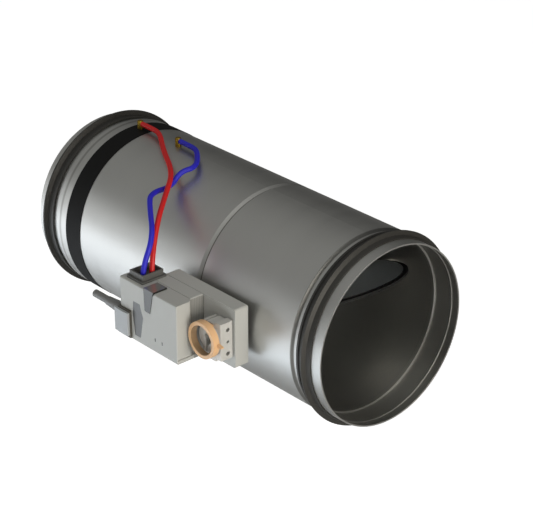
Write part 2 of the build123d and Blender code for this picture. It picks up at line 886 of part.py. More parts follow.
def motor():
    """Stator can of the motor, standing on the gear case lid."""
    inside = rotor_radius + rotor_end_gap
    with BuildPart() as stator:
        drum(case_front_y, motor_can_radius, motor_can_length, motor_x, motor_z)
        bore(case_front_y - motor_can_wall, inside, motor_can_length - 2 * motor_can_wall, motor_x, motor_z)
        bore(case_front_y + over, arbor_radius + running_gap, motor_can_wall + 2 * over, motor_x, motor_z)
    write(stator, "motor_stator")


def clamp():
    """Shaft clamp: a yoke behind the shaft, a V jaw, a block and two long screws through them."""
    depth = hub_front_y - clamp_front_y
    with BuildPart() as yoke:
        with BuildSketch(side(hub_front_y, shaft_x)):
            Circle(yoke_radius)
            rectangle(yoke_ear_back, 0, -yoke_ear, yoke_ear)
            rectangle(yoke_face, yoke_radius, -yoke_ear, yoke_ear, Mode.SUBTRACT)
            Circle(shaft_radius, mode=Mode.SUBTRACT)
        extrude(amount=depth)
        clamp_holes(clamp_screw_radius)
    write(yoke, "clamp_yoke")
    apex = shaft_radius * sqrt(2)
    with BuildPart() as jaw:
        with BuildSketch(side(hub_front_y, shaft_x)):
            rectangle(jaw_back, jaw_front, jaw_bottom, jaw_top)
            with BuildLine():
                Polyline(
                    (apex, 0),
                    (-shaft_radius, apex + shaft_radius),
                    (-shaft_radius, -apex - shaft_radius),
                    close=True,
                )
            make_face(mode=Mode.SUBTRACT)
        extrude(amount=depth)
        clamp_holes(clamp_screw_radius)
    write(jaw, "clamp_jaw")
    with BuildPart() as block:
        with BuildSketch(side(hub_front_y, shaft_x)):
            rectangle(block_back, block_front, block_bottom, block_top)
        extrude(amount=depth)
        fillet(block.edges().filter_by(Axis.Z).group_by(Axis.X)[-1], block_edge)
        clamp_holes(clamp_screw_radius)
        with BuildSketch(across(shaft_x, clamp_hole_y, -clamp_hole_drop)):
            Circle(lock_hole_radius)
        extrude(amount=2 * block_front, mode=Mode.SUBTRACT)
    write(block, "clamp_block")
    with BuildPart() as screws:
        with BuildSketch(across(shaft_x + yoke_ear_back, clamp_hole_y, -clamp_hole_drop)):
            with Locations((0, -clamp_screw_offset), (0, clamp_screw_offset)):
                Circle(clamp_screw_radius)
        extrude(amount=block_front - clamp_screw_recess - yoke_ear_back)
    write(screws, "clamp_screws")


def clamp_holes(radius):
    """The two screw holes along X through the open clamp piece."""
    with BuildSketch(across(shaft_x - 2 * yoke_radius, clamp_hole_y, -clamp_hole_drop)) as holes:
        with Locations((0, -clamp_screw_offset), (0, clamp_screw_offset)):
            Circle(radius)
    extrude(holes.sketch, amount=4 * yoke_radius, mode=Mode.SUBTRACT)


def position_ring():
    """Position indicator: a ring with a pointer tab, standing on two feet on the V jaw."""
    with BuildPart() as ring:
        with BuildSketch(side(position_ring_back_y, shaft_x)):
            Circle(position_ring_outer)
            Circle(position_ring_inner, mode=Mode.SUBTRACT)
        extrude(amount=position_ring_back_y - position_ring_front_y)
        with BuildSketch(side(position_ring_back_y, shaft_x)):
            with BuildLine():
                root = (position_ring_outer + position_ring_inner) / 2
                Polyline(
                    (root, -pointer_width / 2),
                    (pointer_reach, -pointer_tip / 2),
                    (pointer_reach, pointer_tip / 2),
                    (root, pointer_width / 2),
                    close=True,
                )
            make_face()
        extrude(amount=pointer_thickness)
        with BuildSketch(side(clamp_front_y, shaft_x)):
            with Locations((position_foot_x, -position_foot_z), (position_foot_x, position_foot_z)):
                Rectangle(position_foot_width, position_foot_height)
        extrude(amount=clamp_front_y - position_ring_back_y + over)
    write(ring, "position_ring")


def hex_cover_points():
    """Corners of the six-sided cover over the service socket."""
    return [(shaft_x + x, z) for x, z in socket_cover_corners]


def button_outline():
    """Outline of the release button on the front face, narrower towards its foot."""
    return [
        (button_x_low, case_half_height + button_rise),
        (button_x_low + button_foot_inset, button_bottom_z + button_foot_height),
        (button_x_low + 3 * button_foot_inset, button_bottom_z),
        (button_x_high - button_slope, button_bottom_z),
        (button_x_high, case_half_height + button_rise),
    ]


def tray_shell(y_open, y_closed, x_high):
    """Hollow of a controller shell between its open side and its wall, cut from the open part."""
    half = case_half_height - body_wall
    with BuildSketch(side(y_open)) as hollow:
        rectangle(body_x_low + body_wall, x_high, -half, half)
    extrude(hollow.sketch, amount=y_open - y_closed, mode=Mode.SUBTRACT)


def boot_opening():
    """Opening for the hose boot through the top wall of the open part."""
    with BuildSketch(Plane.XY.offset(case_half_height - body_wall - over)) as opening:
        rectangle(
            boot_x_low + boot_plug_inset,
            boot_x_high - boot_plug_inset,
            boot_y_front + boot_plug_inset,
            boot_y_back - boot_plug_inset,
        )
    extrude(opening.sketch, amount=body_wall + 2 * over, mode=Mode.SUBTRACT)


def seam_groove(y, x_high):
    """Shallow groove round the open controller shell at a seam, from the plane at y."""
    outside = case_half_height + over
    inside = case_half_height - seam_depth
    with BuildSketch(side(y)) as ring:
        rectangle(body_x_low - over, x_high + over, -outside, outside)
        rectangle(body_x_low + seam_depth, x_high - seam_depth, -inside, inside, Mode.SUBTRACT)
    extrude(ring.sketch, amount=seam_width, mode=Mode.SUBTRACT)


def controller_housing():
    """Front cover and middle housing of the controller, two open shells."""
    half = case_half_height
    hollow_x_high = body_x_high - body_wall - body_rounding
    with BuildPart() as front:
        with BuildSketch(side(body_split_y)):
            rectangle(body_x_low, body_x_high, -half, half)
        extrude(amount=body_split_y - body_front_y)
        right_edges = front.edges().filter_by(Axis.Z).sort_by(Axis.X)[-2:]
        fillet(right_edges.sort_by(Axis.Y)[-1], body_rounding)
        with BuildSketch(side(body_split_y)):
            rectangle(body_x_high - 2 * body_rounding, body_x_high, -half, foot_lip_height - half)
        extrude(amount=body_rounding)
        chamfer(front.edges().group_by(Axis.Y)[0], body_edge)
        tray_shell(body_split_y + over, body_front_y + body_wall, hollow_x_high)
        boot_opening()
        with BuildSketch(Plane.XY.offset(half - body_wall - button_gap)):
            rectangle(
                button_x_low - button_gap,
                button_x_high + button_gap,
                body_front_y - over,
                button_back_y + button_gap,
            )
        extrude(amount=body_wall + over, mode=Mode.SUBTRACT)
        with BuildSketch(side(body_front_y + socket_cover_thickness + socket_cover_recess)):
            with BuildLine():
                Polyline(*hex_cover_points(), close=True)
            make_face()
        extrude(amount=body_wall, mode=Mode.SUBTRACT)
        with BuildSketch(side(body_front_y + body_wall + over)):
            with Locations(*light_places):
                Rectangle(light_width, light_height)
        extrude(amount=body_wall + 2 * over, mode=Mode.SUBTRACT)
        with BuildSketch(side(terminal_back_y)):
            rectangle(body_x_low - over, terminal_x_high, terminal_z_low, terminal_z_high)
        extrude(amount=terminal_back_y - body_front_y + over, mode=Mode.SUBTRACT)
        with BuildSketch(side(body_split_y)):
            rectangle(
                body_x_high - groove_cut,
                body_x_high + over,
                foot_lip_height - half,
                foot_lip_height - half + foot_lip_groove,
            )
        extrude(amount=body_split_y - body_front_y - body_edge, mode=Mode.SUBTRACT)
        seam_groove(body_split_y, body_x_high)
    write(front, "front_cover")
    with BuildPart() as middle:
        with BuildSketch(side(case_front_y)):
            rectangle(body_x_low, body_back_x_high, -half, half)
        extrude(amount=case_front_y - body_split_y)
        fillet(middle.edges().filter_by(Axis.Y).sort_by(Axis.X)[-1], middle_rounding)
        with BuildSketch(side(foot_lip_back_y)):
            rectangle(body_back_x_high - body_rounding, body_x_high, -half, foot_lip_height - half)
        extrude(amount=foot_lip_back_y - body_split_y)
        seam_groove(case_front_y, body_back_x_high)
        tray_shell(case_front_y - body_wall, body_split_y - over, hollow_x_high)
        bore(case_front_y + over, motor_can_radius + motor_clearance, body_wall + 2 * over, motor_x, motor_z)
        boot_opening()
    write(middle, "middle_housing")


def housing_pieces():
    """Socket cover, lights, terminal block, its cover, the boot, the cable with its relief."""
    with BuildPart() as socket:
        with BuildSketch(side(body_front_y + socket_cover_thickness + socket_cover_recess)):
            with BuildLine():
                Polyline(*hex_cover_points(), close=True)
            make_face()
        extrude(amount=socket_cover_thickness)
    write(socket, "socket_cover")
    with BuildPart() as lights:
        with BuildSketch(side(board_y - board_thickness)):
            with Locations(*light_places):
                Rectangle(light_width, light_height)
        extrude(amount=board_y - board_thickness - body_front_y - light_recess)
    write(lights, "status_lights")
    with BuildPart() as terminals:
        with BuildSketch(side(terminal_back_y)):
            rectangle(terminal_x_low, terminal_x_high, terminal_z_low, terminal_z_high)
        extrude(amount=terminal_back_y - terminal_front_y)
    write(terminals, "terminal_block")
    back = terminal_front_y
    front = terminal_front_y - cover_thickness
    with BuildPart() as cover:
        with BuildSketch(Plane.XY.offset(cover_z_low)):
            with BuildLine():
                Polyline(
                    (cover_x_low, back - cover_end_step),
                    (cover_x_low + cover_end_step, back),
                    (cover_x_high, back),
                    (cover_x_high, front),
                )
                ThreePointArc(
                    (cover_x_high, front),
                    ((cover_x_low + cover_x_high) / 2, front - cover_bulge),
                    (cover_x_low + cover_end_rounding, front),
                )
                ThreePointArc(
                    (cover_x_low + cover_end_rounding, front),
                    (cover_x_low + cover_end_rounding / 3, front + cover_end_step / 2),
                    (cover_x_low, back - cover_end_step),
                )
            make_face()
        extrude(amount=cover_z_high - cover_z_low)
    write(cover, "terminal_cover")
    with BuildPart() as boot:
        with BuildSketch(Plane.XY.offset(case_half_height)):
            rectangle(boot_x_low, boot_x_high, boot_y_front, boot_y_back)
        extrude(amount=boot_flange)
        fillet(boot.edges().filter_by(Axis.Z), boot_corner)
        inset = boot_collar_inset
        with BuildSketch(Plane.XY.offset(case_half_height + boot_flange)):
            rectangle(boot_x_low + inset, boot_x_high - inset, boot_y_front + inset, boot_y_back - inset)
        extrude(amount=boot_collar_height - boot_flange)
        inset = boot_plug_inset
        with BuildSketch(Plane.XY.offset(case_half_height - boot_plug_depth)):
            rectangle(boot_x_low + inset, boot_x_high - inset, boot_y_front + inset, boot_y_back - inset)
        extrude(amount=boot_plug_depth)
        inset = boot_collar_inset + boot_wall
        with BuildSketch(Plane.XY.offset(case_half_height + boot_floor)):
            rectangle(boot_x_low + inset, boot_x_high - inset, boot_y_front + inset, boot_y_back - inset)
        extrude(amount=boot_collar_height, mode=Mode.SUBTRACT)
        with BuildSketch(Plane.XY.offset(case_half_height - boot_plug_depth - over)):
            with Locations(red_nipple, blue_nipple):
                Circle(hose_diameter / 2 + boot_hose_gap)
        extrude(amount=boot_plug_depth + boot_floor + 2 * over, mode=Mode.SUBTRACT)
    write(boot, "hose_boot")
    relief_tip = terminal_x_low - relief_length
    with BuildPart() as relief:
        with BuildSketch(side(cable_y, 0, cable_z)):
            with BuildLine():
                Polyline(
                    (terminal_x_low, cable_radius),
                    (terminal_x_low, relief_radius_base),
                    (relief_tip, relief_radius_tip),
                    (relief_tip, cable_radius),
                    close=True,
                )
            make_face()
        revolve(axis=Axis((0, cable_y, cable_z), (1, 0, 0)))
    write(relief, "strain_relief")
    with BuildPart() as cable:
        with BuildSketch(across(cable_end_x, cable_y, cable_z)):
            Circle(cable_radius)
        extrude(amount=terminal_x_low - cable_end_x)
    write(cable, "cable_stub")


def electronics():
    """Circuit board behind the front wall, and the pressure sensor with its two nipples."""
    half = case_half_height - body_wall - board_margin
    hollow_x_high = body_x_high - body_wall - body_rounding
    beside_terminals = terminal_x_high + board_gap
    with BuildPart() as board:
        with BuildSketch(side(board_y)):
            rectangle(beside_terminals, hollow_x_high - board_margin, -half, half)
            rectangle(body_x_low + body_wall, beside_terminals, terminal_z_high + board_gap, half)
        extrude(amount=board_thickness)
    write(board, "circuit_board")
    with BuildPart() as sensor:
        with BuildSketch(side(sensor_y_high)):
            rectangle(sensor_x_low, sensor_x_high, sensor_z_low, sensor_z_high)
        extrude(amount=sensor_y_high - sensor_y_low)
        with BuildSketch(Plane.XY.offset(sensor_z_high)):
            with Locations(red_nipple, blue_nipple):
                Circle(nipple_base_radius)
        extrude(amount=hose_bottom_z - sensor_z_high)
        with BuildSketch(Plane.XY.offset(hose_bottom_z)):
            with Locations(red_nipple, blue_nipple):
                Circle(nipple_radius)
        extrude(amount=nipple_top_z - hose_bottom_z)
    write(sensor, "pressure_sensor")


def release_button():
    """Sprung release button that wraps the top front edge, and its return spring."""
    top = case_half_height + button_rise
    stem_x = (button_x_low + button_x_high) / 2
    stem_y = (body_front_y + body_wall + button_back_y) / 2
    with BuildPart() as button:
        with BuildSketch(Plane.XY.offset(top - button_thickness)):
            rectangle(button_x_low, button_x_high, body_front_y - button_skirt, button_back_y)
        extrude(amount=button_thickness)
        with BuildSketch(side(body_front_y)):
            with BuildLine():
                Polyline(*button_outline(), close=True)
            make_face()
        extrude(amount=button_skirt)
        with BuildSketch(Plane.XY.offset(button_stem_bottom_z)):
            with Locations((stem_x, stem_y)):
                Rectangle(button_stem_width, button_stem_width)
        extrude(amount=top - button_thickness - button_stem_bottom_z)
    write(button, "release_button")
    low = leaf_foot_z + leaf_strip / 2
    high = button_stem_bottom_z - leaf_strip / 2
    with BuildPart() as spring:
        with BuildSketch(across(stem_x - leaf_width / 2, stem_y)):
            with BuildLine():
                FilletPolyline(
                    (-leaf_reach / 2, low),
                    (leaf_reach / 2, low),
                    (0, high),
                    (-leaf_reach / 4, high),
                    radius=leaf_bend,
                )
            trace(line_width=leaf_strip)
        extrude(amount=leaf_width)
    write(spring, "button_spring")
    with BuildPart() as seat:
        with BuildSketch(Plane.XY.offset(leaf_foot_z - seat_thickness)):
            rectangle(
                stem_x - button_stem_width / 2,
                stem_x + button_stem_width / 2,
                board_y,
                stem_y + leaf_reach / 2,
            )
        extrude(amount=seat_thickness)
    write(seat, "spring_seat")


os.makedirs("parts", exist_ok=True)
sheet_casing()
spigots()
gaskets()
band_and_ring()
taps()
hoses()
bushes()
damper()
bracket()
gear_case()
gears()
motor()
clamp()
position_ring()
controller_housing()
housing_pieces()
electronics()
release_button()
print("idler at", round(idler_x, 3), "motor at", round(motor_x, 3), round(motor_z, 3))
print("blade half length", round(blade_half_length, 2), "centre", round(blade_centre, 2))
print("stop angles", [round(a, 2) for a in stop_angles()])
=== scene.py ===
# %% [markdown]
# # An airflow regulator, dressed for its portrait
# The regulator is a length of round duct with a damper blade inside and an actuator on its side.
# Its solids arrive as a fixed frame, in metres. X runs along the duct, the outlet rim is the plane
# x = 0, Z is up, and the actuator hangs on the -Y side. This file adds what solids cannot say:
# finishes, soft hoses, light and a camera.

# %% Load the frame
import bpy
import json
from math import radians, tau
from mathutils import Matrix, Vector


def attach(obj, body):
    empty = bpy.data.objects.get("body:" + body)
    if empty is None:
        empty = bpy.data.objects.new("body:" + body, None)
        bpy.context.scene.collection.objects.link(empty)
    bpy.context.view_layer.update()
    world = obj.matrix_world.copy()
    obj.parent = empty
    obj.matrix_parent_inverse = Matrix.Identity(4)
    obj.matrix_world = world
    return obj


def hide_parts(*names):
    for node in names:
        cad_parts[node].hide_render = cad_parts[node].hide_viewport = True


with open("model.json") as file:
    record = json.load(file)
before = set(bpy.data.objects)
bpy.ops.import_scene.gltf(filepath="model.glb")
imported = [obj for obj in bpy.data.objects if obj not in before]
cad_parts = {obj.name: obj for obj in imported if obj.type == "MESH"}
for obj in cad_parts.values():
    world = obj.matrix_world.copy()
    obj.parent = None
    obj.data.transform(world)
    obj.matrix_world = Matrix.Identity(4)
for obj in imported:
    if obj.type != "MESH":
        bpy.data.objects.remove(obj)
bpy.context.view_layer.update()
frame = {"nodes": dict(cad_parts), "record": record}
nodes = frame["nodes"]

# %% [markdown]
# ## Camera
# The photograph looks down at the outlet end from the front right. Its ellipses and its parallel
# edges were solved for one camera, so the place, the two angles and the lens are plain numbers.
# Another way is to nudge a camera by eye, but then every later comparison would carry that error.

# %% Camera
camera_place = Vector((1.13376, -1.17526, 0.89187))
camera_azimuth = 48.425
camera_elevation = 26.523
sensor_width_mm = 36.0
focal_length_mm = 123.76
nearest_seen = 0.05
farthest_seen = 50.0
lens_data = bpy.data.cameras.new("portrait_camera")
lens_data.sensor_width = sensor_width_mm
lens_data.lens = focal_length_mm
lens_data.clip_start = nearest_seen
lens_data.clip_end = farthest_seen
camera = bpy.data.objects.new("portrait_camera", lens_data)
camera.location = camera_place
camera.rotation_euler = (radians(90.0 - camera_elevation), 0.0, radians(camera_azimuth))
bpy.context.scene.collection.objects.link(camera)
bpy.context.scene.camera = camera

# %% [markdown]
# ## The two pressure hoses
# Soft plastic tubes lead from the brass elbows on the duct into the boot of the controller. The
# solids hold them as twelve-sided rods, straight runs joined by arcs. Real tubing bends all along
# its length, so each is redrawn as a round bevel on a NURBS curve, with the route's points as its
# control points. A Bezier curve could do it too, but its handles would have to be set by hand at
# every point.
#
# The routes weren't chosen by hand. Points were picked along each hose in the photograph, and the
# solids' routes were fitted to them through the solved camera. The red route is that fit. Seven
# points in the middle of the blue one were worked out again, from places picked in the photograph
# and depths near the fit's, to show its bends. It stays within 10 mm of the solid's middle line.

# %% Hose routes
red_route = [
    (-0.40325, 0.0, 0.1085),
    (-0.3863, 0.0, 0.1085),
    (-0.3663, -0.0035, 0.1092),
    (-0.3327, -0.0264, 0.1067),
    (-0.2813, -0.0541, 0.1045),
    (-0.2560, -0.0851, 0.0953),
    (-0.2297, -0.1175, 0.0835),
    (-0.2119, -0.1404, 0.0499),
    (-0.2119, -0.1404, 0.0280),
]
blue_route = [
    (-0.33525, 0.0, 0.1085),
    (-0.3153, 0.0, 0.1085),
    (-0.2988, -0.0051, 0.1095),
    (-0.2726, -0.0278, 0.1060),
    (-0.2773, -0.0476, 0.1045),
    (-0.2757, -0.0611, 0.0915),
    (-0.2648, -0.0983, 0.0986),
    (-0.2510, -0.1104, 0.0922),
    (-0.2151, -0.1345, 0.0769),
    (-0.2139, -0.1512, 0.0448),
    (-0.2139, -0.1512, 0.0280),
]
hose_diameter = 0.0058
print("routes of", len(red_route), "and", len(blue_route), "points")

# %% [markdown]
# The bevel is a circle of radius 1, and each point's own radius scales it to the tube. That gives
# the same tube as a bevel of the tube's radius. Blender adds the points' radius to a curve's
# bounding box, though, and at their usual radius of 1 the hoses would seem metres wide.

# %% Hoses
def hose(name, node, route, length):
    """Round hose on a smooth curve along the route."""
    curve = bpy.data.curves.new(name, "CURVE")
    curve.dimensions = "3D"
    curve.bevel_depth = 1.0
    curve.bevel_resolution = 8
    curve.resolution_u = 16
    curve.use_fill_caps = True
    spline = curve.splines.new("NURBS")
    spline.points.add(len(route) - 1)
    for point, place in zip(spline.points, route):
        point.co = (*place, 1.0)
        point.radius = hose_diameter / 2
    spline.use_endpoint_u = True
    spline.order_u = 3
    piece = bpy.data.objects.new(name, curve)
    bpy.context.scene.collection.objects.link(piece)
    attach(piece, "casing")
    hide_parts(node)
    print(name, "stands for", round(length * 1000), "mm of tube")
    return piece


soft_red_hose = hose("soft_red_hose", "red_hose", red_route, length=0.284)
soft_blue_hose = hose("soft_blue_hose", "blue_hose", blue_route, length=0.263)

# %% [markdown]
# ## Shared effects
# Metal, plastic and rubber all share a few faults of the real thing: a colour that drifts a
# little from place to place, fine grain, and paler edges. Each effect is a node group with named
# inputs, built once. A group gives masks, values and normals, and the shader stays in the
# material. Three small helpers keep the groups short to read.

# %% Node helpers
def new_group(name, inputs, outputs):
    """Empty shader group with named sockets."""
    tree = bpy.data.node_groups.new(name, "ShaderNodeTree")
    for title, kind, default in inputs:
        socket = tree.interface.new_socket(name=title, in_out="INPUT", socket_type=kind)
        socket.default_value = default
    for title, kind in outputs:
        tree.interface.new_socket(name=title, in_out="OUTPUT", socket_type=kind)
    return tree, tree.nodes.new("NodeGroupInput"), tree.nodes.new("NodeGroupOutput")


def node(tree, kind, **settings):
    """One node, with its own properties set."""
    made = tree.nodes.new(kind)
    for key, value in settings.items():
        setattr(made, key, value)
    return made


def number(tree, operation, *values, clamp=False):
    """Math node on links or numbers."""
    made = node(tree, "ShaderNodeMath", operation=operation, use_clamp=clamp)
    for socket, value in zip(made.inputs, values):
        if isinstance(value, (int, float)):
            socket.default_value = value
        else:
            tree.links.new(value, socket)
    return made.outputs[0]


# %% [markdown]
# ### Drift
# No surface has exactly one colour. A photograph of the real sheet could be stretched over it,
# but noise needs no seams and works at any size. Drift multiplies a colour by a slow noise, and
# gives the same noise as a value, which a material may add to its roughness.

# %% Drift group
drift, drift_in, drift_out = new_group(
    "drift",
    [("Color", "NodeSocketColor", (0.5, 0.5, 0.5, 1)), ("Scale", "NodeSocketFloat", 30.0),
     ("Amount", "NodeSocketFloat", 0.05), ("Stretch", "NodeSocketVector", (1, 1, 1))],
    [("Color", "NodeSocketColor"), ("Value", "NodeSocketFloat")],
)
drift_place = node(drift, "ShaderNodeTexCoord")
stretched = node(drift, "ShaderNodeVectorMath", operation="MULTIPLY")
drift.links.new(drift_place.outputs["Object"], stretched.inputs[0])
drift.links.new(drift_in.outputs["Stretch"], stretched.inputs[1])
cloud = node(drift, "ShaderNodeTexNoise")
cloud.inputs["Detail"].default_value = 4.0
drift.links.new(stretched.outputs[0], cloud.inputs["Vector"])
drift.links.new(drift_in.outputs["Scale"], cloud.inputs["Scale"])
centred = number(drift, "SUBTRACT", cloud.outputs["Fac"], 0.5)
change = number(drift, "MULTIPLY", centred, drift_in.outputs["Amount"])
tinted = node(drift, "ShaderNodeVectorMath", operation="SCALE")
drift.links.new(drift_in.outputs["Color"], tinted.inputs[0])
drift.links.new(number(drift, "ADD", change, 1.0), tinted.inputs["Scale"])
drift.links.new(tinted.outputs[0], drift_out.inputs["Color"])
drift.links.new(change, drift_out.inputs["Value"])
print("group", drift.name, "with", len(drift.nodes), "nodes")

# %% [markdown]
# ### Soft edges
# Moulded and folded edges are never knife-sharp. They could be filleted in the mesh, but the
# solids stay as they are. The Bevel node rounds only the normal over a small radius, so edges
# catch a thin line of light. How far that normal leaves the true one is a mask for worn edges.

# %% Edge group
soft_edges, edges_in, edges_out = new_group(
    "soft_edges",
    [("Radius", "NodeSocketFloat", 0.0005), ("Gain", "NodeSocketFloat", 3.0)],
    [("Normal", "NodeSocketVector"), ("Mask", "NodeSocketFloat")],
)
rounded = node(soft_edges, "ShaderNodeBevel", samples=4)
soft_edges.links.new(edges_in.outputs["Radius"], rounded.inputs["Radius"])
surface = node(soft_edges, "ShaderNodeNewGeometry")
agreement = node(soft_edges, "ShaderNodeVectorMath", operation="DOT_PRODUCT")
soft_edges.links.new(rounded.outputs[0], agreement.inputs[0])
soft_edges.links.new(surface.outputs["Normal"], agreement.inputs[1])
departure = number(soft_edges, "SUBTRACT", 1.0, agreement.outputs["Value"])
worn = number(soft_edges, "MULTIPLY", departure, edges_in.outputs["Gain"], clamp=True)
soft_edges.links.new(rounded.outputs[0], edges_out.inputs["Normal"])
soft_edges.links.new(worn, edges_out.inputs["Mask"])
print("group", soft_edges.name, "with", len(soft_edges.nodes), "nodes")

# %% [markdown]
# ### Painted shade inside a ring
# The inside of the duct is painted darker than its outside: this is painted shade, as little light
# gets in there. The inside of the position ring gets the same painted shade. The inside faces
# could have a material of their own, but each solid has one slot. So a mask finds them: a surface
# belongs to the inside where its normal points at the ring's axis. That is the dot product of the
# normal with the direction away from the axis, turned round. Across says which directions lie
# across the axis.

# %% Inside group
inside_shade, inside_shade_in, inside_shade_out = new_group(
    "inside_shade",
    [("Centre", "NodeSocketVector", (0, 0, 0)), ("Across", "NodeSocketVector", (0, 1, 1)),
     ("Gain", "NodeSocketFloat", 4.0)],
    [("Mask", "NodeSocketFloat")],
)
ring_skin = node(inside_shade, "ShaderNodeTexCoord")
from_centre = node(inside_shade, "ShaderNodeVectorMath", operation="SUBTRACT")
inside_shade.links.new(ring_skin.outputs["Object"], from_centre.inputs[0])
inside_shade.links.new(inside_shade_in.outputs["Centre"], from_centre.inputs[1])
from_axis = node(inside_shade, "ShaderNodeVectorMath", operation="MULTIPLY")
inside_shade.links.new(from_centre.outputs[0], from_axis.inputs[0])
inside_shade.links.new(inside_shade_in.outputs["Across"], from_axis.inputs[1])
outward = node(inside_shade, "ShaderNodeVectorMath", operation="NORMALIZE")
inside_shade.links.new(from_axis.outputs[0], outward.inputs[0])
facing_out = node(inside_shade, "ShaderNodeVectorMath", operation="DOT_PRODUCT")
inside_shade.links.new(outward.outputs[0], facing_out.inputs[0])
inside_shade.links.new(ring_skin.outputs["Normal"], facing_out.inputs[1])
facing_in = number(inside_shade, "MULTIPLY", facing_out.outputs["Value"], -1.0)
inside_shade.links.new(number(inside_shade, "MULTIPLY", facing_in, inside_shade_in.outputs["Gain"], clamp=True),
                 inside_shade_out.inputs["Mask"])
print("group", inside_shade.name, "with", len(inside_shade.nodes), "nodes")

# %% [markdown]
# ### Painted shade in creases
# Where a groove's floor meets its wall and where a shoulder steps down, little light gets in, so
# these creases are painted darker: painted shade. At the outlet shoulder it also paints over a
# highlight. An ambient occlusion node would find such places, but it is slow and also darkens the
# wide inside corners. These creases are rings, so one place along X is enough. The mask is 1 in
# the middle of each and falls to 0 at either side of it.

# %% Crease group
crease_reach = 1.6
crease_shade, crease_shade_in, crease_shade_out = new_group(
    "crease_shade",
    [("Place", "NodeSocketFloat", 0.0), ("Half Width", "NodeSocketFloat", 0.001)],
    [("Mask", "NodeSocketFloat")],
)
duct_skin = node(crease_shade, "ShaderNodeTexCoord")
duct_place = node(crease_shade, "ShaderNodeSeparateXYZ")
crease_shade.links.new(duct_skin.outputs["Object"], duct_place.inputs[0])
offset = number(crease_shade, "SUBTRACT", duct_place.outputs["X"], crease_shade_in.outputs["Place"])
away = number(crease_shade, "ABSOLUTE", offset)
half_widths = number(crease_shade, "DIVIDE", away, crease_shade_in.outputs["Half Width"])
crease_shade.links.new(number(crease_shade, "SUBTRACT", crease_reach, half_widths, clamp=True),
                 crease_shade_out.inputs["Mask"])
print("group", crease_shade.name, "with", len(crease_shade.nodes), "nodes")

# %% [markdown]
# ### Painted shadows of grip ribs
# The right end of the controller's middle shell has fine upright ribs, and their own shadows make
# it darker than the smooth faces. They could be cut into the solid, but at this size only their
# shadows show, so the whole end face gets painted shadow, with a sine wave along Y for the ribs.
# The mask is only on faces that look along the duct: it starts where the normal's X passes
# end_face_start, and end_face_gain brings it to 1.

# %% Rib group
end_face_start = 0.8
end_face_gain = 6.0
rib_shadow = 0.85
rib_swing = 0.15
rib_shadows, rib_shadows_in, rib_shadows_out = new_group("rib_shadows", [("Pitch", "NodeSocketFloat", 0.0022)],
                                    [("Mask", "NodeSocketFloat")])
rib_skin = node(rib_shadows, "ShaderNodeTexCoord")
rib_normal = node(rib_shadows, "ShaderNodeSeparateXYZ")
rib_shadows.links.new(rib_skin.outputs["Normal"], rib_normal.inputs[0])
past_start = number(rib_shadows, "SUBTRACT", rib_normal.outputs["X"], end_face_start)
end_face = number(rib_shadows, "MULTIPLY", past_start, end_face_gain, clamp=True)
rib_place = node(rib_shadows, "ShaderNodeSeparateXYZ")
rib_shadows.links.new(rib_skin.outputs["Object"], rib_place.inputs[0])
rib_count = number(rib_shadows, "DIVIDE", rib_place.outputs["Y"], rib_shadows_in.outputs["Pitch"])
wave = number(rib_shadows, "SINE", number(rib_shadows, "MULTIPLY", rib_count, tau))
shadow = number(rib_shadows, "MULTIPLY_ADD", wave, rib_swing, rib_shadow)
rib_shadows.links.new(number(rib_shadows, "MULTIPLY", shadow, end_face), rib_shadows_out.inputs["Mask"])
print("group", rib_shadows.name, "with", len(rib_shadows.nodes), "nodes")

# %% [markdown]
# ### Painted shade on the rim of a plate
# The cut rim of the blade's plates is painted dark between the rubber and the bright faces:
# painted shade, in place of the rim's reflection. The release button's front and sides are painted
# much darker than its top, as painted light and shade, and the same mask parts those two. A face
# is on the rim where its normal lies across the plate's own normal.

# %% Rim group
rim_gain = 3.0
plate_rim_shade, plate_rim_shade_in, plate_rim_shade_out = new_group(
    "plate_rim_shade", [("Plate Normal", "NodeSocketVector", (0, 0, 1))],
    [("Mask", "NodeSocketFloat")])
plate_skin = node(plate_rim_shade, "ShaderNodeTexCoord")
square_on = node(plate_rim_shade, "ShaderNodeVectorMath", operation="DOT_PRODUCT")
plate_rim_shade.links.new(plate_skin.outputs["Normal"], square_on.inputs[0])
plate_rim_shade.links.new(plate_rim_shade_in.outputs["Plate Normal"], square_on.inputs[1])
straight = number(plate_rim_shade, "ABSOLUTE", square_on.outputs["Value"])
aside = number(plate_rim_shade, "SUBTRACT", 1.0, straight)
plate_rim_shade.links.new(number(plate_rim_shade, "MULTIPLY", aside, rim_gain, clamp=True),
                    plate_rim_shade_out.inputs["Mask"])
print("group", plate_rim_shade.name, "with", len(plate_rim_shade.nodes), "nodes")

# %% [markdown]
# ## Finishes
# One function makes a finish: a drifting colour, paler edges, overlays that a mask lays on top,
# a grain that feeds the bump, and the constants of the shader set on its own sockets. Each
# finish could be its own node tree by hand, but then a mended fault would be mended twenty times.

# %% Finish helper
edge_lift = 1.25
grain_detail = 2.0
grain_height = 0.0002
finishes = {}


def laid_over(tree, below, mask, color):
    """Colour output of one plain colour laid over another by a mask."""
    over = node(tree, "ShaderNodeMix", data_type="RGBA")
    tree.links.new(mask, over.inputs["Factor"])
    tree.links.new(below, over.inputs["A"])
    over.inputs["B"].default_value = (*color, 1)
    return over.outputs["Result"]


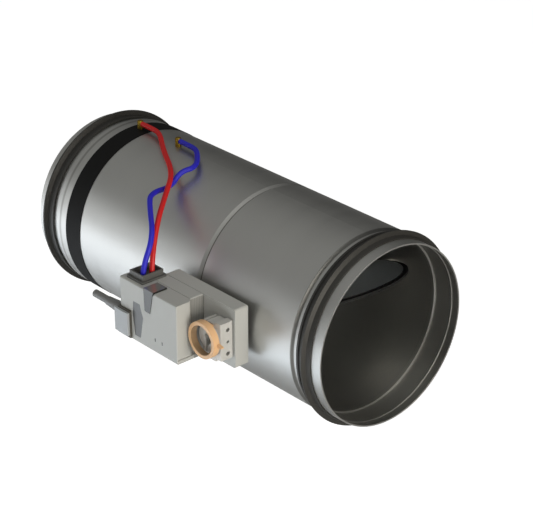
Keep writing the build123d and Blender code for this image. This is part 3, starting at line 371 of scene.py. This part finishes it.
def finish(name, color, roughness, metallic=0.0, specular=0.5, edge=0.0004, edge_gain=3.0,
           drift_scale=30.0, drift_amount=0.06, stretch=(1, 1, 1), grain=900.0, bump=0.05,
           overlays=()):
    """Opaque finish built from the shared groups, kept by its name."""
    made = bpy.data.materials.new(name)
    made.use_nodes = True
    tree = made.node_tree
    shader = tree.nodes["Principled BSDF"]
    shader.inputs["Metallic"].default_value = metallic
    shader.inputs["Specular IOR Level"].default_value = specular
    tone = node(tree, "ShaderNodeGroup", node_tree=drift)
    tone.inputs["Color"].default_value = (*color, 1)
    tone.inputs["Scale"].default_value = drift_scale
    tone.inputs["Amount"].default_value = drift_amount
    tone.inputs["Stretch"].default_value = stretch
    rim = node(tree, "ShaderNodeGroup", node_tree=soft_edges)
    rim.inputs["Radius"].default_value = edge
    rim.inputs["Gain"].default_value = edge_gain
    paler = tuple(min(1.0, channel * edge_lift) for channel in color)
    blend = laid_over(tree, tone.outputs["Color"], rim.outputs["Mask"], paler)
    for group, settings, overlay_color in overlays:
        layer = node(tree, "ShaderNodeGroup", node_tree=group)
        for title, value in settings.items():
            layer.inputs[title].default_value = value
        blend = laid_over(tree, blend, layer.outputs["Mask"], overlay_color)
    tree.links.new(blend, shader.inputs["Base Color"])
    rough = number(tree, "ADD", tone.outputs["Value"], roughness, clamp=True)
    tree.links.new(rough, shader.inputs["Roughness"])
    skin = node(tree, "ShaderNodeTexCoord")
    speck = node(tree, "ShaderNodeTexNoise")
    speck.inputs["Scale"].default_value = grain
    speck.inputs["Detail"].default_value = grain_detail
    tree.links.new(skin.outputs["Object"], speck.inputs["Vector"])
    relief = node(tree, "ShaderNodeBump")
    relief.inputs["Strength"].default_value = bump
    relief.inputs["Distance"].default_value = grain_height
    tree.links.new(speck.outputs["Fac"], relief.inputs["Height"])
    tree.links.new(rim.outputs["Normal"], relief.inputs["Normal"])
    tree.links.new(relief.outputs["Normal"], shader.inputs["Normal"])
    finishes[name] = made


# %% [markdown]
# ### Sheet metal
# Galvanised sheet is satin: a mirror blurred by its own fine grain. Roughness alone makes that
# here, as the zinc's flowers are too faint to show at this size. Painted shade lies in creases at
# the right edge of the rolled groove and at the shoulder at each end. The blade is duller sheet,
# and its rim is painted dark, as painted shade.

# %% Sheet metal
groove_crease_shade = {"Place": -0.1850, "Half Width": 0.0006}
outlet_crease_shade = {"Place": -0.0401, "Half Width": 0.0012}
inlet_crease_shade = {"Place": -0.4290, "Half Width": 0.0014}
blade_normal = {"Plate Normal": (-0.3551, 0, 0.9348)}
finish("galvanised_sheet", (0.52, 0.52, 0.505), 0.42, metallic=1.0, edge=0.0002, edge_gain=1.5,
       drift_scale=9.0, drift_amount=0.08, stretch=(6, 1, 1),
       # painted shade on the inside of the duct
       overlays=[(inside_shade, {"Gain": 4.0}, (0.40, 0.395, 0.375)),
                 # painted shade in the groove's crease and at the shoulder at each end
                 (crease_shade, groove_crease_shade, (0.20, 0.195, 0.18)),
                 (crease_shade, outlet_crease_shade, (0.25, 0.25, 0.24)),
                 (crease_shade, inlet_crease_shade, (0.34, 0.335, 0.32))])
# painted shade: the rim of the blade's plates is laid over nearly black
finish("blade_sheet", (0.42, 0.45, 0.455), 0.5, metallic=1.0, drift_scale=12.0, edge=0.0001,
       overlays=[(plate_rim_shade, blade_normal, (0.02, 0.02, 0.02))])
print(len(finishes), "finishes so far")

# %% [markdown]
# ### Rubber and tape
# The gaskets are dark grey rubber with a soft shine along their lips. The blade's lip and the
# sealing band are darker and duller still, so they need a low specular level as well as a dark
# colour: with the usual one, the pale floor would turn them grey.

# %% Rubber and tape
finish("dark_rubber", (0.030, 0.029, 0.026), 0.46, drift_scale=20.0, specular=0.4)
finish("black_rubber", (0.010, 0.010, 0.010), 0.7, specular=0.15)
finish("black_tape", (0.009, 0.009, 0.009), 0.6, specular=0.1)
print(len(finishes), "finishes so far")

# %% [markdown]
# ### Fittings and hoses
# The elbows are turned brass, and the hoses are soft coloured plastic with a low shine. The
# hoses could let a little light through, but at 6 mm across that doesn't show.

# %% Fittings and hoses
finish("brass", (0.34, 0.22, 0.03), 0.42, metallic=1.0)
finish("red_hose", (0.60, 0.012, 0.013), 0.42, drift_amount=0.1, specular=0.35)
finish("blue_hose", (0.022, 0.018, 0.50), 0.42, drift_amount=0.1, specular=0.35)
finish("cable_sheath", (0.19, 0.19, 0.185), 0.45)
print(len(finishes), "finishes so far")

# %% [markdown]
# ### Moulded plastic
# The controller's shells are fine-grained pale grey plastic. The covers on them are glossier and
# darker, and the release button is glossy enough to mirror the two hoses above it, which is why
# its roughness is so low. The position ring is orange, with painted shade on its inside.

# %% Moulded plastic
ring_inside_shade = {"Centre": (-0.1209, 0, 0), "Across": (1, 0, 1)}
housing_color = (0.44, 0.445, 0.425)
finish("grey_housing", housing_color, 0.48, drift_amount=0.03)
# painted shadow of the ribs over the end face
finish("rib_shaded_housing", housing_color, 0.48, drift_amount=0.03,
       overlays=[(rib_shadows, {"Pitch": 0.0022}, (0.20, 0.20, 0.19))])
finish("pale_plastic", (0.42, 0.44, 0.455), 0.45, drift_amount=0.03, specular=0.3)
finish("mid_grey_plastic", (0.095, 0.098, 0.10), 0.18, drift_amount=0.04, bump=0.02)
# painted light and shade: the front and sides are laid over nearly black, so the top reads paler
finish("button_plastic", (0.165, 0.165, 0.155), 0.10, drift_amount=0.04, edge=0.0002, bump=0.02,
       specular=0.8, overlays=[(plate_rim_shade, {"Plate Normal": (0, 0, 1)}, (0.018, 0.018, 0.016))])
finish("dark_plastic", (0.10, 0.10, 0.095), 0.45)
finish("terminal_plastic", (0.080, 0.074, 0.060), 0.45)
finish("black_plastic", (0.02, 0.02, 0.02), 0.45)
# painted shade on the inside of the position ring
finish("orange_plastic", (0.74, 0.46, 0.245), 0.42,
       overlays=[(inside_shade, ring_inside_shade, (0.36, 0.235, 0.13))])
print(len(finishes), "finishes so far")

# %% [markdown]
# ### Clamp, gears and board
# The clamp is a pale casting with a coarser grain, only partly metallic because of its oxide
# skin. The gears and screws are dark and oiled. The board inside is green, and only a view into
# an opened housing would show it.

# %% Clamp, gears and board
finish("cast_clamp", (0.56, 0.555, 0.53), 0.42, metallic=0.2, grain=500.0, bump=0.12)
finish("steel", (0.72, 0.71, 0.68), 0.34, metallic=1.0)
finish("dark_metal", (0.018, 0.017, 0.017), 0.55, specular=0.3)
finish("green_board", (0.02, 0.12, 0.05), 0.4)
print(len(finishes), "finishes in all")

# %% [markdown]
# ### Who wears what
# The record names a slot for each solid, so most finishes go by the record. Four pieces look
# different in the photograph from the other pieces of their slot, and get a finish of their own.

# %% Give each solid its finish
slot_of = {row["node"]: row["material_slot"] for row in frame["record"]["subparts"]}
slot_of["strain_relief"] = "cable_sheath"
slot_of["middle_housing"] = "rib_shaded_housing"
slot_of["terminal_block"] = "terminal_plastic"
slot_of["release_button"] = "button_plastic"
for name, piece in nodes.items():
    for slot in piece.material_slots:
        slot.material = finishes[slot_of[name]]
soft_red_hose.data.materials.append(finishes["red_hose"])
soft_blue_hose.data.materials.append(finishes["blue_hose"])
print(len(nodes), "solids dressed")

# %% [markdown]
# ## Floor
# The regulator hangs in its duct, so the plain floor is well below it. To the camera the floor
# is white, by Is Camera Ray, so a white background puts no more light on the object. Mirrors get
# only a small share of that white: with the full share the casing's flank was one white patch.
# A bent backdrop would hide the horizon too, but metal would mirror its bend.

# %% Floor
floor_height = -0.62
floor_reach = 9.0
floor_mesh = bpy.data.meshes.new("studio_floor")
corners = [(-floor_reach, -floor_reach), (floor_reach, -floor_reach),
           (floor_reach, floor_reach), (-floor_reach, floor_reach)]
floor_mesh.from_pydata([(x, y, floor_height) for x, y in corners], [], [(0, 1, 2, 3)])
floor = bpy.data.objects.new("studio_floor", floor_mesh)
bpy.context.scene.collection.objects.link(floor)
print("floor at", floor_height)

# %% Floor paint
floor_color = (0.33, 0.33, 0.33, 1)
white = (1.0, 1.0, 1.0, 1)
white_to_camera = 0.9
share_to_mirrors = 0.06
paint = bpy.data.materials.new("studio_floor")
paint.use_nodes = True
tree = paint.node_tree
tree.nodes.remove(tree.nodes["Principled BSDF"])
matt = node(tree, "ShaderNodeBsdfDiffuse")
matt.inputs["Color"].default_value = floor_color
glow = node(tree, "ShaderNodeEmission")
glow.inputs["Color"].default_value = white
ray = node(tree, "ShaderNodeLightPath")
mirrored = number(tree, "MULTIPLY", ray.outputs["Is Glossy Ray"], share_to_mirrors)
seen = number(tree, "ADD", ray.outputs["Is Camera Ray"], mirrored, clamp=True)
seen = number(tree, "ADD", seen, ray.outputs["Is Transmission Ray"], clamp=True)
tree.links.new(number(tree, "MULTIPLY", seen, white_to_camera), glow.inputs["Strength"])
both = node(tree, "ShaderNodeAddShader")
tree.links.new(matt.outputs[0], both.inputs[0])
tree.links.new(glow.outputs[0], both.inputs[1])
tree.links.new(both.outputs[0], tree.nodes["Material Output"].inputs["Surface"])
floor_mesh.materials.append(paint)
print("floor glows", white_to_camera, "to the camera")

# %% [markdown]
# ## Lamps
# Metal shows what is round it. Three lamps face down, just above the floor: they make the lit
# patches that the casing's flank mirrors, and as an area lamp can't be seen from behind, they
# don't show themselves. Three soft lamps light the object, the strongest and warmest from the
# right. White cards round the object would do it too, but they would show in other views.

# %% Lamps
def soft_lamp(name, place, aim, size, power, color):
    """Large square lamp that points at a place."""
    lamp = bpy.data.lights.new(name, "AREA")
    lamp.shape = "SQUARE"
    lamp.size = size
    lamp.energy = power
    lamp.color = color
    stand = bpy.data.objects.new(name, lamp)
    stand.location = place
    stand.rotation_euler = (Vector(aim) - Vector(place)).to_track_quat("-Z", "Y").to_euler()
    bpy.context.scene.collection.objects.link(stand)
    print(name, "of", power, "W")


soft_lamp("floor_lamp", place=(-1.94, -1.36, -0.30), aim=(-1.94, -1.36, -0.6),
          size=2.0, power=86.0, color=(0.88, 0.935, 1.0))
soft_lamp("front_floor_lamp", place=(0.6, -1.75, -0.25), aim=(0.6, -1.75, -0.6),
          size=2.0, power=95.0, color=(0.97, 0.99, 1.0))
soft_lamp("near_floor_lamp", place=(-0.70, -0.66, -0.50), aim=(-0.70, -0.66, -0.6),
          size=0.34, power=3.8, color=(0.80, 0.90, 1.0))
soft_lamp("left_lamp", place=(-1.8, -1.3, -0.1), aim=(-0.4, -0.1, 0.0),
          size=1.2, power=4.2, color=(0.97, 0.99, 1.0))
soft_lamp("top_lamp", place=(1.0, -0.1, 2.0), aim=(-0.2, -0.1, 0.0),
          size=1.2, power=8.0, color=(1.0, 0.98, 0.94))
soft_lamp("right_lamp", place=(2.4, -0.3, 0.3), aim=(0.0, -0.1, 0.0),
          size=1.2, power=44.0, color=(1.0, 0.94, 0.84))

# %% [markdown]
# ## World
# The room is dark behind the duct and grey overhead, which gives the casing its dull top. Its
# level is the direction's Z, raised a little towards the front. To the camera it is white, as
# the floor is, so that a low view shows no grey band over the horizon.

# %% World
room_dark = (0.05, 0.05, 0.048, 1)
room_pale = (0.40, 0.40, 0.385, 1)
lift_to_front = -0.4
world = bpy.data.worlds.new("studio_room")
bpy.context.scene.world = world
world.use_nodes = True
tree = world.node_tree
room = tree.nodes["Background"]
direction = node(tree, "ShaderNodeTexCoord")
split = node(tree, "ShaderNodeSeparateXYZ")
tree.links.new(direction.outputs["Generated"], split.inputs[0])
front = number(tree, "MULTIPLY", split.outputs["Y"], lift_to_front)
level = number(tree, "ADD", split.outputs["Z"], front, clamp=True)
shade = node(tree, "ShaderNodeMix", data_type="RGBA")
shade.inputs["A"].default_value = room_dark
shade.inputs["B"].default_value = room_pale
tree.links.new(level, shade.inputs["Factor"])
ray = node(tree, "ShaderNodeLightPath")
seen = number(tree, "ADD", ray.outputs["Is Camera Ray"], ray.outputs["Is Transmission Ray"],
              clamp=True)
backdrop = node(tree, "ShaderNodeMix", data_type="RGBA")
backdrop.inputs["B"].default_value = white
tree.links.new(seen, backdrop.inputs["Factor"])
tree.links.new(shade.outputs["Result"], backdrop.inputs["A"])
tree.links.new(backdrop.outputs["Result"], room.inputs["Color"])
print("room is graded from behind to overhead, and white to the camera")

# %% [markdown]
# ## Finish
# The view transform is set to Standard, and the scene is brought up to date.

# %% Finish
bpy.context.scene.view_settings.view_transform = "Standard"
bpy.context.view_layer.update()
